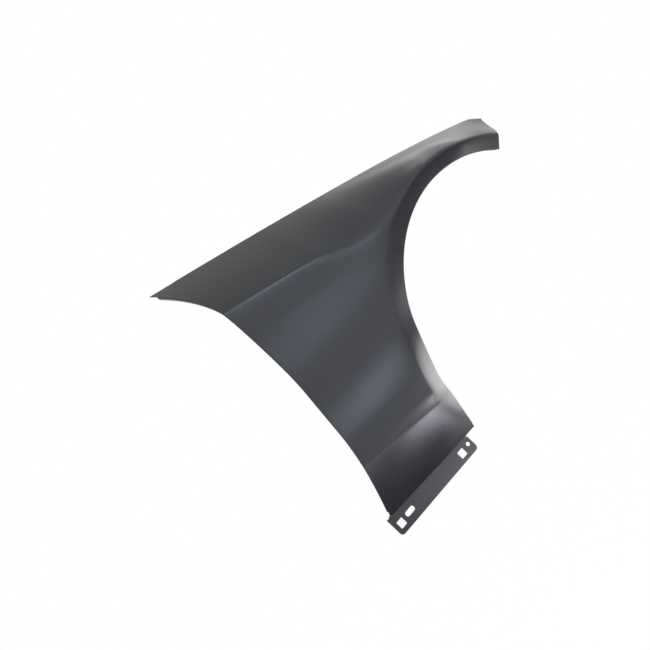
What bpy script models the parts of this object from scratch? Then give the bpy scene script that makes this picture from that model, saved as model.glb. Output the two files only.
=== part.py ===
"""Right-hand front fender of a car, pressed from one steel sheet.

Metres, +X forward, +Y inboard, +Z up. The panel is drawn about the wheel centre
and then placed so that the sill flange's inner face holds the origin.
"""
import math

import bmesh
import bpy
from mathutils import Vector
from mathutils.geometry import delaunay_2d_cdt

for old_object in list(bpy.data.objects):
    bpy.data.objects.remove(old_object, do_unlink=True)

# Sheet
sheet_thickness = 0.0008
fold_radius = 0.0018
fold_rows = 3
edge_pitch = 0.0160
face_pitch = 0.0158
probe = 0.0015
join_distance = 0.00002
crowding_share = 0.62
beside_share = 0.64

# Wheel arch, about the wheel centre
arch_radius = 0.3512
arch_front_angle = math.radians(54.6)
arch_change_angle = math.radians(150.0)
arch_lower_radius = 0.520
arch_foot_limit = math.radians(216.0)
arch_foot_halvings = 40

# Hood line, straight from the side and bowed from above: over the arch, then over the front corner
hood_rise = 0.1108
hood_height = arch_radius + hood_rise
front_corner_x = 0.3185
front_corner_height = 0.3715
front_corner_drop = 0.01392
hood_line_angle = math.atan((hood_height - front_corner_height - front_corner_drop) / front_corner_x)
hood_inset = 0.104
hood_rear_sweep = 0.048
hood_front_sweep = 0.0625
hood_front_x = 0.2835

# Body side from above
widest_x = -0.080
rear_sweep_length = 0.580
rear_sweep = 0.030
front_sweep_length = 0.360
front_sweep = 0.060

# Body side in section
side_hollow = 0.007
side_wave = 0.0013
side_wave_pitch = 0.200
side_wave_height = 0.325
wave_end_share = 0.17

# Shoulder crease, parallel to the hood line, which fades over the wheel
shoulder_drop = 0.1378
shoulder_slope_share = 0.55
shoulder_front_x = -0.300
turn_shift_x = -0.380
turn_shift_length = 0.380
slope_fade_x = -0.420
slope_fade_length = 0.220
crease_softness = 0.004
turn_softness = 0.056
soft_start_x = -0.430
soft_start_length = 0.260
soft_end_x = 0.010
soft_end_length = 0.110
front_slope_share = 0.80
front_slope_length = 0.140

# Flared band round the wheel arch
band_width = 0.036
band_foot_height = 0.150
band_foot_length = 0.140
band_slope_share = 0.50
band_side_ease_share = 0.12
band_foot_gain_share = 0.24
foot_flare = 0.007
foot_flare_reach = 0.170
band_softness = 0.019
band_foot_softness = 0.020
band_soft_angle = math.radians(95.0)
band_ease_angle = math.radians(80.0)
band_firm_angle = math.radians(140.0)
band_blend_angle = math.radians(40.0)

# Lower crease and the tuck under it
lower_crease_height = 0.0318
lower_crease_angle = math.radians(7.7)
lower_crease_front_x = -0.405
tuck_front_x = -0.250
sill_rear_x = -0.6755
sill_rear_height = -0.082
sill_line_angle = math.radians(3.05)
sill_inset = 0.065
sill_curl = 0.014
sill_curl_x = -0.560
sill_curl_length = 0.185

# Door edge
door_low_x = -0.6490
door_shoulder_x = -0.6185
tip_x = -0.6570
door_bow = 0.0195
door_top_bow = 0.0085

# Front end
front_band_angle = math.radians(54.21)
front_bow = 0.004

# Hood rail: a wall below the hood line and a ledge with bolt pads
rail_depth = 0.024
rail_narrow = 0.013
rail_wide = 0.027
rail_tip_relief = 0.062
rail_front_relief = 0.012
pad_half_length = 0.026
pad_blend = 0.016
pad_places = (-0.540, -0.300, -0.060, 0.180)
rail_slot_length = 0.014
rail_slot_width = 0.009

# Door return, folded past square as a stiff open hem
door_return = 0.011
door_return_angle = math.radians(122.0)
door_tip_relief = 0.016
door_foot_relief = 0.010

# Arch lip
lip_width = 0.016
lip_relief = 0.008
lip_hole = 0.0065
lip_hole_shares = (0.17, 0.37, 0.55, 0.74, 0.91)

# Front return
front_return = 0.014
front_relief = 0.012
front_hole = 0.0065
front_hole_shares = (0.30, 0.72)
nose_return = 0.010
square_angle = math.radians(90.0)

# Sill flange, stepped in from the skin
flange_inset = 0.084
flange_rear_bottom = -0.1330
flange_front_bottom = -0.1363
flange_rear_x = -0.681
flange_front_gap = 0.0510
step_rear_x = -0.672
step_front_gap = 0.0568
flange_corner = 0.009
corner_steps = 4
clip_hole = 0.018
clip_hole_corner = 0.002
flange_slot_length = 0.028
flange_slot_width = 0.012
flange_round_hole = 0.010
clip_shares = ((0.073, 0.40), (0.862, 0.31))
slot_share = (0.192, 0.455)
round_hole_share = (0.956, 0.385)

# Cutters and the mount
cutter_reach = 0.005
hole_sides = 16
mount_x = -0.545
mount_height = -0.112


def ease(value):
    """Smooth step from 0 to 1."""
    value = min(max(value, 0.0), 1.0)
    return value * value * (3.0 - 2.0 * value)


def ramp(height, softness):
    """Zero below, straight above, with a rounded start."""
    return (height + math.hypot(height, softness)) / 2.0


def swept(x, rear_depth, front_depth):
    """Depth of a line that bows away from the widest place."""
    if x < widest_x:
        return rear_depth * ((x - widest_x) / rear_sweep_length) ** 2
    return front_depth * ((x - widest_x) / front_sweep_length) ** 2


def hood_z(x):
    return hood_height - math.tan(hood_line_angle) * x


def hood_y(x):
    return hood_inset + swept(x, hood_rear_sweep, hood_front_sweep)


def turn_z(x):
    """Height where the side turns into the top: the shoulder crease, then the band."""
    shift = ease((x - turn_shift_x) / turn_shift_length)
    crown = arch_radius + band_width
    over_arch = math.sqrt(max(crown * crown - x * x, 0.0))
    return (1.0 - shift) * (hood_z(x) - shoulder_drop) + shift * over_arch


def turn_slope(x):
    rear = shoulder_slope_share * (1.0 - ease((x - slope_fade_x) / slope_fade_length))
    return rear + front_slope_share * ease(x / front_slope_length)


def turn_width(x):
    soft = ease((x - soft_start_x) / soft_start_length)
    soft *= 1.0 - ease((x - soft_end_x) / soft_end_length)
    return crease_softness + (turn_softness - crease_softness) * soft


def lower_z(x):
    return lower_crease_height - math.tan(lower_crease_angle) * (x - door_low_x)


def sill_z(x):
    return sill_rear_height - math.tan(sill_line_angle) * (x - sill_rear_x)


def sill_y(x):
    curl = max(x - sill_curl_x, 0.0) / sill_curl_length
    return sill_inset + sill_curl * curl * curl


def lower_arch_centre():
    reach = arch_radius - arch_lower_radius
    return reach * math.cos(arch_change_angle), reach * math.sin(arch_change_angle)


def arch_angle(x, z):
    angle = math.atan2(z, x)
    return angle + math.tau if angle < -math.pi / 2.0 else angle


def arch_distance(x, z):
    """Distance outward from the arch's edge."""
    if arch_angle(x, z) > arch_change_angle:
        centre_x, centre_z = lower_arch_centre()
        return math.hypot(x - centre_x, z - centre_z) - arch_lower_radius
    return math.hypot(x, z) - arch_radius


def band_depth(x, z):
    """How far the flared band leans in toward the wheel."""
    angle = arch_angle(x, z)
    foot = ease((band_foot_height - z) / band_foot_length)
    soft = crease_softness + band_softness * ease((angle - band_soft_angle) / band_blend_angle)
    soft += band_foot_softness * foot
    side_ease = ease((angle - band_ease_angle) / band_blend_angle)
    side_ease *= 1.0 - ease((angle - band_firm_angle) / band_blend_angle)
    slope = band_slope_share - band_side_ease_share * side_ease + band_foot_gain_share * foot
    distance = arch_distance(x, z)
    flare = max(1.0 - max(distance, 0.0) / foot_flare_reach, 0.0) ** 2
    return slope * ramp(band_width - distance, soft) + foot_flare * foot * flare


def side_depth(x, z):
    """Hollow and light waves of the body side between its two creases."""
    share = (z - lower_z(x)) / (turn_z(x) - lower_z(x))
    share = min(max(share, 0.0), 1.0)
    fade = min(share / wave_end_share, (1.0 - share) / wave_end_share, 1.0)
    wave = math.sin(math.tau * (z - side_wave_height) / side_wave_pitch)
    return side_hollow * 4.0 * share * (1.0 - share) + side_wave * wave * fade


def top_depth(x, z):
    """Depth that the surface gains between its turn line and the hood line."""
    width = turn_width(x)
    slope = turn_slope(x)
    full = ramp(hood_z(x) - turn_z(x), width)
    rise = min(ramp(z - turn_z(x), width), full)
    gain = hood_y(x) - swept(x, rear_sweep, front_sweep)
    curve = (gain - slope * full) / (full * full)
    return slope * rise + curve * rise * rise


def tuck_depth(x, z):
    """Depth that the surface gains from the lower crease down to the sill line."""
    inset = sill_y(x) - swept(x, rear_sweep, front_sweep) - band_depth(x, sill_z(x))
    slope = inset / (lower_z(x) - sill_z(x))
    return slope * ramp(lower_z(x) - z, crease_softness)


def skin_y(x, z):
    """Outer face of the panel: how far inboard it lies at x and z."""
    depth = swept(x, rear_sweep, front_sweep) + side_depth(x, z) + top_depth(x, z) + band_depth(x, z)
    if x < tuck_front_x:
        depth += tuck_depth(x, z)
    return depth


def skin_point(x, z):
    return Vector((x, skin_y(x, z), z))


def outward(x, z):
    """Unit normal of the outer face, from small steps on the surface."""
    across = (skin_y(x + probe, z) - skin_y(x - probe, z)) / (2.0 * probe)
    upward = (skin_y(x, z + probe) - skin_y(x, z - probe)) / (2.0 * probe)
    return Vector((across, -1.0, upward)).normalized()


def bowed_line(start, end, bow, pitch):
    """Points from start up to, not with, end, on a shallow curve that bows to +X."""
    start = Vector(start)
    end = Vector(end)
    steps = max(round((end - start).length / pitch), 1)
    points = []
    for step in range(steps):
        share = step / steps
        point = start.lerp(end, share)
        point.x += bow * 4.0 * share * (1.0 - share)
        points.append((point.x, point.y))
    return points


def arch_point(angle):
    """Point of the arch's edge in the direction of an angle from the wheel centre."""
    direction = Vector((math.cos(angle), math.sin(angle)))
    if angle <= arch_change_angle:
        return tuple(arch_radius * direction)
    centre = Vector(lower_arch_centre())
    along = centre.dot(direction)
    reach = along + math.sqrt(along * along - centre.dot(centre) + arch_lower_radius ** 2)
    return tuple(reach * direction)


def crown_point(angle):
    """Point of the line where the flared band turns into the body side."""
    crown = arch_radius + band_width
    return crown * math.cos(angle), crown * math.sin(angle)


def arch_foot():
    """Angle where the arch's edge meets the sill line."""
    low, high = math.pi, arch_foot_limit
    for _ in range(arch_foot_halvings):
        middle = (low + high) / 2.0
        x, z = arch_point(middle)
        low, high = (middle, high) if z > sill_z(x) else (low, middle)
    return low


def arch_line(first_angle, last_angle, pitch):
    """Points from the first angle up to, not with, the last."""
    steps = max(round(abs(last_angle - first_angle) * arch_radius / pitch), 1)
    turn = (last_angle - first_angle) / steps
    return [arch_point(first_angle + turn * step) for step in range(steps)]


def panel_outline():
    """The panel's edge as named stretches, anticlockwise as seen from outside."""
    tip = (tip_x, hood_z(tip_x))
    shoulder = (door_shoulder_x, turn_z(door_shoulder_x))
    crease = (door_low_x, lower_z(door_low_x))
    foot = (sill_rear_x, sill_z(sill_rear_x))
    step_rear = (step_rear_x, sill_z(step_rear_x))
    step_front_x = -arch_radius - step_front_gap
    step_front = (step_front_x, sill_z(step_front_x))
    foot_angle = arch_foot()
    arch_end = arch_point(foot_angle)
    lip_turn = lip_relief / arch_radius
    front_low = arch_point(arch_front_angle)
    front_mid = crown_point(front_band_angle)
    front_top = (front_corner_x, front_corner_height)
    hood_end = (hood_front_x, hood_z(hood_front_x))
    rail_end_x = hood_front_x - rail_front_relief
    rail_start_x = tip_x + rail_tip_relief
    rail_end = (rail_end_x, hood_z(rail_end_x))
    rail_start = (rail_start_x, hood_z(rail_start_x))
    door_top = bowed_line(tip, shoulder, door_top_bow, edge_pitch)
    skipped = round(door_tip_relief / edge_pitch)
    front_reach = (Vector(front_mid) - Vector(front_top)).length
    front_in = front_relief / front_reach
    front_a = tuple(Vector(front_top).lerp(Vector(front_mid), front_in))
    front_b = tuple(Vector(front_mid).lerp(Vector(front_top), front_in))
    foot_in = door_foot_relief / (Vector(crease) - Vector(foot)).length
    door_foot = tuple(Vector(foot).lerp(Vector(crease), foot_in))
    return (
        ("tip", door_top[:skipped]),
        ("door", door_top[skipped:] + bowed_line(shoulder, crease, door_bow, edge_pitch)
         + bowed_line(crease, door_foot, 0.0, edge_pitch)),
        ("door_corner", [door_foot, foot]),
        ("step", [step_rear] + bowed_line(step_rear, step_front, 0.0, edge_pitch)[1:]),
        ("sill_corner", bowed_line(step_front, arch_end, 0.0, edge_pitch)),
        ("arch_foot", [arch_end]),
        ("lip", arch_line(foot_angle - lip_turn, arch_front_angle + lip_turn, edge_pitch)),
        ("arch_nose", [arch_point(arch_front_angle + lip_turn)]),
        ("nose", [front_low] + bowed_line(front_low, front_mid, 0.0, edge_pitch)[1:]),
        ("nose_corner", [front_mid]),
        ("front", bowed_line(front_b, front_a, front_bow, edge_pitch)),
        ("front_corner", [front_a] + bowed_line(front_top, hood_end, 0.0, edge_pitch)),
        ("hood_corner", [hood_end]),
        ("rail", bowed_line(rail_end, rail_start, 0.0, edge_pitch)),
        ("hood_tip", bowed_line(rail_start, tip, 0.0, edge_pitch)),
    )


def crease_lines():
    """Lines that the mesh keeps as edges: shoulder, lower crease and band."""
    shoulder = [(door_shoulder_x, turn_z(door_shoulder_x))]
    steps = round((shoulder_front_x - door_shoulder_x) / edge_pitch)
    for step in range(1, steps + 1):
        x = door_shoulder_x + (shoulder_front_x - door_shoulder_x) * step / steps
        shoulder.append((x, turn_z(x)))
    lower = [(door_low_x, lower_z(door_low_x))]
    steps = round((lower_crease_front_x - door_low_x) / edge_pitch)
    for step in range(1, steps + 1):
        x = door_low_x + (lower_crease_front_x - door_low_x) * step / steps
        lower.append((x, lower_z(x)))
    steps = round((band_firm_angle - front_band_angle) * (arch_radius + band_width) / edge_pitch)
    turn = (band_firm_angle - front_band_angle) / steps
    band = [crown_point(front_band_angle + turn * step) for step in range(steps + 1)]
    return shoulder, lower, band


def inside(point, polygon):
    """Whether a point lies within a closed polygon."""
    x, z = point
    within = False
    for (ax, az), (bx, bz) in zip(polygon, polygon[1:] + polygon[:1]):
        if (az > z) != (bz > z) and x < ax + (z - az) * (bx - ax) / (bz - az):
            within = not within
    return within


def lattice(polygon, pitch):
    """Staggered rows of points over the outline's box."""
    row_height = pitch * math.sqrt(3.0) / 2.0
    xs = [p[0] for p in polygon]
    zs = [p[1] for p in polygon]
    rows = int((max(zs) - min(zs)) / row_height)
    columns = int((max(xs) - min(xs)) / pitch)
    points = []
    for row in range(rows + 1):
        for column in range(columns + 1):
            x = min(xs) + (column + (row % 2) / 2.0) * pitch
            points.append((x, min(zs) + row * row_height))
    return points


def beside(line, offset):
    """Points that follow a line at an offset to either side."""
    points = []
    for (ax, az), (bx, bz) in zip(line, line[1:]):
        length = math.hypot(bx - ax, bz - az)
        across_x, across_z = (az - bz) / length, (bx - ax) / length
        for side in (-offset, offset):
            points.append(((ax + bx) / 2.0 + side * across_x, (az + bz) / 2.0 + side * across_z))
    return points


def fill_points(polygon, lines, pitch):
    """Points inside the outline, in rows beside the creases and then staggered, none crowded."""
    clear = crowding_share * pitch
    cells = {}
    for p in polygon + [p for line in lines for p in line]:
        cells.setdefault((int(p[0] // pitch), int(p[1] // pitch)), []).append(p)
    candidates = [p for line in lines for p in beside(line, beside_share * pitch)]
    points = []
    for x, z in candidates + lattice(polygon, pitch):
        cx, cz = int(x // pitch), int(z // pitch)
        near = [p for i in (-1, 0, 1) for j in (-1, 0, 1) for p in cells.get((cx + i, cz + j), ())]
        if all(math.hypot(x - p[0], z - p[1]) > clear for p in near) and inside((x, z), polygon):
            points.append((x, z))
            cells.setdefault((cx, cz), []).append((x, z))
    return points


def add_skin(mesh, stretches):
    """Triangulate the skin; returns each stretch's vertices, ends shared."""
    polygon = [p for _, points in stretches for p in points]
    creases = crease_lines()
    flat = list(polygon)
    edges = []
    for line in creases:
        places = []
        for p in line:
            same = [i for i, q in enumerate(flat) if math.hypot(p[0] - q[0], p[1] - q[1]) < join_distance]
            if same:
                places.append(same[0])
            else:
                flat.append(p)
                places.append(len(flat) - 1)
        edges += list(zip(places, places[1:]))
    flat += fill_points(polygon, creases, face_pitch)
    rim = [list(range(len(polygon)))]
    found = delaunay_2d_cdt([Vector(p) for p in flat], edges, rim, 1, join_distance)
    verts = [mesh.verts.new(skin_point(p.x, p.y)) for p in found[0]]
    for face in found[2]:
        mesh.faces.new([verts[i] for i in face])
    vertex_of = {}
    for new, originals in enumerate(found[3]):
        for original in originals:
            vertex_of[original] = verts[new]
    runs = {}
    first = 0
    for name, points in stretches:
        last = first + len(points)
        runs[name] = [vertex_of[i % len(polygon)] for i in range(first, last + 1)]
        first = last
    return runs


def run_frames(run):
    """For each vertex of a run: its place, the edge's way, the way off it and the outer normal."""
    frames = []
    for i, vertex in enumerate(run):
        behind = run[max(i - 1, 0)].co
        ahead = run[min(i + 1, len(run) - 1)].co
        along = (ahead - behind).normalized()
        normal = outward(vertex.co.x, vertex.co.z)
        off = along.cross(normal).normalized()
        frames.append((vertex.co.copy(), along, off, normal))
    return frames


def bend(point, heading, new_heading, radius):
    """Points of a fold that turns a strip from one heading to another."""
    angle = heading.angle(new_heading)
    sideways = (new_heading - heading * math.cos(angle)).normalized()
    points = []
    for row in range(1, fold_rows + 1):
        turned = angle * row / fold_rows
        points.append(point + radius * (math.sin(turned) * heading + (1.0 - math.cos(turned)) * sideways))
    return points


def add_strip(mesh, run, columns):
    """Join a run of the skin's edge to columns of points that start at it; returns the last row."""
    rows = [run]
    for row in zip(*columns):
        rows.append([mesh.verts.new(p) for p in row])
    for near, far in zip(rows, rows[1:]):
        for i in range(len(run) - 1):
            mesh.faces.new((near[i + 1], near[i], far[i], far[i + 1]))
    return rows[-1]


def pad_share(place, places, half_length):
    """One on a bolt pad, zero away from it."""
    nearest = min(abs(place - p) for p in places)
    return ease((half_length + pad_blend - nearest) / pad_blend)


def add_rail(mesh, run):
    down = Vector((-math.sin(hood_line_angle), 0.0, -math.cos(hood_line_angle)))
    inboard = Vector((0.0, 1.0, 0.0))
    columns = []
    for place, _, off, _ in run_frames(run):
        points = bend(place, off, down, fold_radius)
        fallen = (points[-1] - place).dot(down)
        wall_foot = points[-1] + (rail_depth - fold_radius - fallen) * down
        points.append(wall_foot)
        points += bend(wall_foot, down, inboard, fold_radius)
        share = pad_share(place.x, pad_places, pad_half_length)
        width = rail_narrow + (rail_wide - rail_narrow) * share
        points.append(points[-1] + (width - fold_radius) / 2.0 * inboard)
        points.append(points[-1] + (width - fold_radius) / 2.0 * inboard)
        columns.append(points)
    add_strip(mesh, run, columns)


def add_return(mesh, run, width, fold_angle):
    """A plain flange folded inward from the skin by an angle."""
    columns = []
    for place, _, off, normal in run_frames(run):
        heading = math.cos(fold_angle) * off - math.sin(fold_angle) * normal
        points = bend(place, off, heading, fold_radius)
        points.append(points[-1] + (width - fold_radius) * heading)
        columns.append(points)
    add_strip(mesh, run, columns)


def corner_arc(centre_x, centre_z, radius, first_angle, last_angle):
    points = []
    for step in range(corner_steps + 1):
        angle = first_angle + (last_angle - first_angle) * step / corner_steps
        points.append((centre_x + radius * math.cos(angle), centre_z + radius * math.sin(angle)))
    return points


def add_sill_flange(mesh, run):
    """The step behind the skin's lower edge and the upright plate that bolts to the sill."""
    inboard = Vector((0.0, 1.0, 0.0))
    down = Vector((0.0, 0.0, -1.0))
    columns = []
    for place, along, off, _ in run_frames(run):
        shelf = (inboard - inboard.dot(along) * along).normalized()
        points = bend(place, off, shelf, fold_radius)
        reach = flange_inset - fold_radius - points[-1].y
        points.append(points[-1] + reach / shelf.y * shelf)
        points += bend(points[-1], shelf, down, fold_radius)
        points[-1].y = flange_inset
        columns.append(points)
    top_row = add_strip(mesh, run, columns)
    rear_top = top_row[0].co.z
    outline = [(v.co.x, v.co.z) for v in reversed(top_row)]
    outline.append((flange_rear_x, rear_top))
    rear_z = flange_rear_bottom + flange_corner
    front_z = flange_front_bottom + flange_corner
    flange_front_x = -arch_radius - flange_front_gap
    outline += corner_arc(flange_rear_x + flange_corner, rear_z, flange_corner, math.pi, 1.5 * math.pi)
    outline += corner_arc(flange_front_x - flange_corner, front_z, flange_corner, -math.pi / 2.0, 0.0)
    outline.append((flange_front_x, top_row[-1].co.z - fold_radius))
    rim = [list(range(len(outline)))]
    found = delaunay_2d_cdt([Vector(p) for p in outline], [], rim, 1, join_distance)
    verts = {}
    for new, originals in enumerate(found[3]):
        shared = [i for i in originals if i < len(top_row)]
        if shared:
            verts[new] = top_row[len(top_row) - 1 - shared[0]]
        else:
            place = found[0][new]
            verts[new] = mesh.verts.new((place.x, flange_inset, place.y))
    for face in found[2]:
        mesh.faces.new([verts[i] for i in face])


def rounded_outline(length, width, corner):
    """Outline of a hole: a slot, a square with round corners or a circle."""
    quarter = hole_sides // 4
    points = []
    for turn in range(4):
        sign_x = 1.0 if turn in (0, 3) else -1.0
        sign_z = 1.0 if turn in (0, 1) else -1.0
        for step in range(quarter + 1):
            angle = (turn + step / quarter) * math.pi / 2.0
            x = sign_x * (length / 2.0 - corner) + corner * math.cos(angle)
            z = sign_z * (width / 2.0 - corner) + corner * math.sin(angle)
            if not points or math.hypot(x - points[-1][0], z - points[-1][1]) > join_distance:
                points.append((x, z))
    if math.hypot(points[0][0] - points[-1][0], points[0][1] - points[-1][1]) < join_distance:
        points.pop()
    return points


def add_cutter(mesh, outline, centre, across, upward):
    """A closed prism through the sheet at centre."""
    through = across.cross(upward).normalized()
    ends = []
    for side in (-1.0, 1.0):
        middle = centre + side * cutter_reach * through
        ends.append([mesh.verts.new(middle + x * across + z * upward) for x, z in outline])
    low, high = ends
    mesh.faces.new(list(reversed(low)))
    mesh.faces.new(high)
    for i in range(len(outline)):
        j = (i + 1) % len(outline)
        mesh.faces.new((low[i], low[j], high[j], high[i]))


def sill_hole_place(share):
    along, above = share
    x = flange_rear_x + along * (-arch_radius - flange_front_gap - flange_rear_x)
    height = sill_z(step_rear_x) - flange_rear_bottom
    return Vector((x, flange_inset, flange_rear_bottom + above * height))


def bay_frame(frames, share):
    """The frame halfway between two neighbours of a run, at a share of its length."""
    bay = min(int(share * (len(frames) - 1)), len(frames) - 2)
    place, along, off, normal = ((a + b) / 2.0 for a, b in zip(frames[bay], frames[bay + 1]))
    return place, along.normalized(), off.normalized(), normal.normalized()


def add_hole_cutters(mesh, runs):
    forward = Vector((1.0, 0.0, 0.0))
    inboard = Vector((0.0, 1.0, 0.0))
    up = Vector((0.0, 0.0, 1.0))
    square = rounded_outline(clip_hole, clip_hole, clip_hole_corner)
    for share in clip_shares:
        add_cutter(mesh, square, sill_hole_place(share), forward, up)
    slot = rounded_outline(flange_slot_length, flange_slot_width, flange_slot_width / 2.0)
    add_cutter(mesh, slot, sill_hole_place(slot_share), forward, up)
    circle = rounded_outline(flange_round_hole, flange_round_hole, flange_round_hole / 2.0)
    add_cutter(mesh, circle, sill_hole_place(round_hole_share), forward, up)

    rail_way = Vector((math.cos(hood_line_angle), 0.0, -math.sin(hood_line_angle)))
    rail_down = Vector((-math.sin(hood_line_angle), 0.0, -math.cos(hood_line_angle)))
    rail_slot = rounded_outline(rail_slot_length, rail_slot_width, rail_slot_width / 2.0)
    for x in pad_places:
        edge = Vector((x, hood_y(x), hood_z(x)))
        centre = edge + rail_depth * rail_down + (fold_radius + rail_wide / 2.0) * inboard
        add_cutter(mesh, rail_slot, centre, rail_way, inboard)

    lip_circle = rounded_outline(lip_hole, lip_hole, lip_hole / 2.0)
    frames = run_frames(runs["lip"])
    for share in lip_hole_shares:
        place, along, off, normal = bay_frame(frames, share)
        centre = place + fold_radius * off - (fold_radius + lip_width) / 2.0 * normal
        add_cutter(mesh, lip_circle, centre, along, normal)

    front_circle = rounded_outline(front_hole, front_hole, front_hole / 2.0)
    frames = run_frames(runs["front"])
    for share in front_hole_shares:
        place, along, off, normal = bay_frame(frames, share)
        centre = place + fold_radius * off - (fold_radius + front_return) / 2.0 * normal
        add_cutter(mesh, front_circle, centre, along, normal)


def make_object(name, mesh):
    data = bpy.data.meshes.new(name)
    mesh.to_mesh(data)
    mesh.free()
    made = bpy.data.objects.new(name, data)
    bpy.context.scene.collection.objects.link(made)
    made.location = (-mount_x, -(flange_inset + sheet_thickness), -mount_height)
    return made


def coat_material():
    """Satin black electrocoat on pressed steel."""
    material = bpy.data.materials.new("black_electrocoat")
    material.use_nodes = True
    shader = material.node_tree.nodes["Principled BSDF"]
    shader.inputs["Base Color"].default_value = (0.030, 0.032, 0.036, 1.0)
    shader.inputs["Roughness"].default_value = 0.38
    shader.inputs["Metallic"].default_value = 0.0
    return material


def build_fender():
    mesh = bmesh.new()
    runs = add_skin(mesh, panel_outline())
    add_return(mesh, runs["door"], door_return, door_return_angle)
    add_return(mesh, runs["front"], front_return, square_angle)
    add_return(mesh, runs["nose"], nose_return, square_angle)
    add_return(mesh, runs["lip"], lip_width, square_angle)
    add_rail(mesh, runs["rail"])
    add_sill_flange(mesh, runs["step"])

    cutters = bmesh.new()
    add_hole_cutters(cutters, runs)
    cutter = make_object("hole_cutters", cutters)
    cutter.hide_render = True
    cutter.display_type = "WIRE"

    for face in mesh.faces:
        face.smooth = True
    fender = make_object("fender_panel", mesh)
    fender.data.materials.append(coat_material())

    wall = fender.modifiers.new("sheet", "SOLIDIFY")
    wall.thickness = sheet_thickness
    wall.offset = -1.0
    wall.use_even_offset = True

    holes = fender.modifiers.new("holes", "BOOLEAN")
    holes.operation = "DIFFERENCE"
    holes.solver = "EXACT"
    holes.object = cutter
    return fender


build_fender()
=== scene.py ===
# Right-hand front fender of a car, pressed from steel sheet and electrocoated black
import math
import bmesh
import bpy
from mathutils import Matrix, Vector
from mathutils.geometry import delaunay_2d_cdt


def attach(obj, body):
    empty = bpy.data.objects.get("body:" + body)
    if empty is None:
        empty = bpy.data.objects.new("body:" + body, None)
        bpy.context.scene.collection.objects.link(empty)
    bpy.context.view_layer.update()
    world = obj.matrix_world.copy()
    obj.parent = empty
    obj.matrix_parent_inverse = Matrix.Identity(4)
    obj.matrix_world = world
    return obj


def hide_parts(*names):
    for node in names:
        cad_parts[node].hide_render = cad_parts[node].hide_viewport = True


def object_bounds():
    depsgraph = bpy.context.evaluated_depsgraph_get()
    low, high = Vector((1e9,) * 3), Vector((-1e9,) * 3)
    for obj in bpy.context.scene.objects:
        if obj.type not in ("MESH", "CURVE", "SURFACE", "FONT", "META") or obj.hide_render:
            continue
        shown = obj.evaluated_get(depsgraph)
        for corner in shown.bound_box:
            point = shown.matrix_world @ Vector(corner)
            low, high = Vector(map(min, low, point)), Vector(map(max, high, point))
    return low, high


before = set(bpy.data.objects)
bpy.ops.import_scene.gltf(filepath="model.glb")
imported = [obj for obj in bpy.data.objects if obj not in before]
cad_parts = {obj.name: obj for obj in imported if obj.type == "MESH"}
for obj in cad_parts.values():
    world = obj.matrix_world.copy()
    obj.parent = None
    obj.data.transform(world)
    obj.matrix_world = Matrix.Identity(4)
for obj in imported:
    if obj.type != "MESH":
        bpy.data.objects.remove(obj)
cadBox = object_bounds()  # the solids' box, before anything is replaced

# Metres and degrees, +X to the front of the car, +Y inboard, +Z up, drawn about the wheel centre
panel = {
    "thickness": 0.0008,        # of the sheet
    "foldRadius": 0.0018,       # of every fold, at the outer face
    "facePitch": 0.0060,        # spacing of the mesh over the skin
    "edgePitch": 0.0050,        # and along its edges and creases
    "creaseRows": (0.0022, 0.0055),  # rows of points on either side of a crease
    "crowdingShare": 0.62,      # of the spacing, closer than which points are dropped
    "step": 0.0010,             # step that slopes are measured over
    "joinGap": 0.00002,         # points closer than this are one
    "sharpAngle": 35.0,         # between faces, past which an edge is shaded sharp
}
place = {
    "wheelX": 0.545,            # wheel centre ahead of the sill flange's datum
    "wheelZ": 0.112,            # and above it
}
arch = {
    "radius": 0.3512,
    "frontAngle": 54.6,         # where the edge ends at the nose
    "changeAngle": 150.0,       # where the edge straightens toward the sill
    "lowerRadius": 0.520,
    "footAngles": (180.0, 216.0),  # between which the edge meets the sill line
    "halvings": 40,             # of that range, to find where
}
hoodLine = {
    "height": 0.4620,           # over the wheel centre
    "angle": 13.52,             # down to the front
    "inset": 0.104,             # inboard of the side's widest place
    "rearSweep": 0.048,         # and further in toward the rear
    "frontSweep": 0.0625,       # and the front
    "frontX": 0.2835,
}
side = {
    "widestX": -0.080,
    "rearReach": 0.580,         # from the widest place
    "rearSweep": 0.030,         # how far inboard the side lies at that reach
    "frontReach": 0.360,
    "frontSweep": 0.060,
    "hollow": 0.007,            # between the two creases
    "wave": 0.0010,             # long low waves that the press leaves
    "wavePitch": 0.200,
    "waveHeight": 0.325,        # where a wave starts
    "waveEndShare": 0.17,       # of the side's height, where they fade at either crease
    "lowWaveGain": 1.5,         # deeper toward the lower crease
    "lowWaveHeight": 0.150,     # in full below here
    "lowWaveReach": 0.200,      # and fading over this much above
}
shoulder = {
    "drop": 0.1378,             # of the shoulder crease below the hood line
    "slope": 0.55,              # of the top, inboard for each metre up
    "frontX": -0.300,           # where the crease's own row of edges ends
    "shiftX": -0.380,           # where the turn leaves the crease's line for the arch's
    "shiftReach": 0.380,
    "fadeX": -0.420,            # where the crease starts to fade
    "fadeReach": 0.220,
    "softness": 0.004,          # of a sharp crease
    "fullSoftness": 0.056,      # of the turn over the wheel
    "softX": -0.430,            # where the crease starts to soften
    "softReach": 0.260,
    "softEndX": 0.010,          # where the turn sharpens again toward the nose
    "softEndReach": 0.110,
    "frontSlope": 0.80,         # of the top ahead of the wheel
    "frontSlopeReach": 0.140,
}
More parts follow.
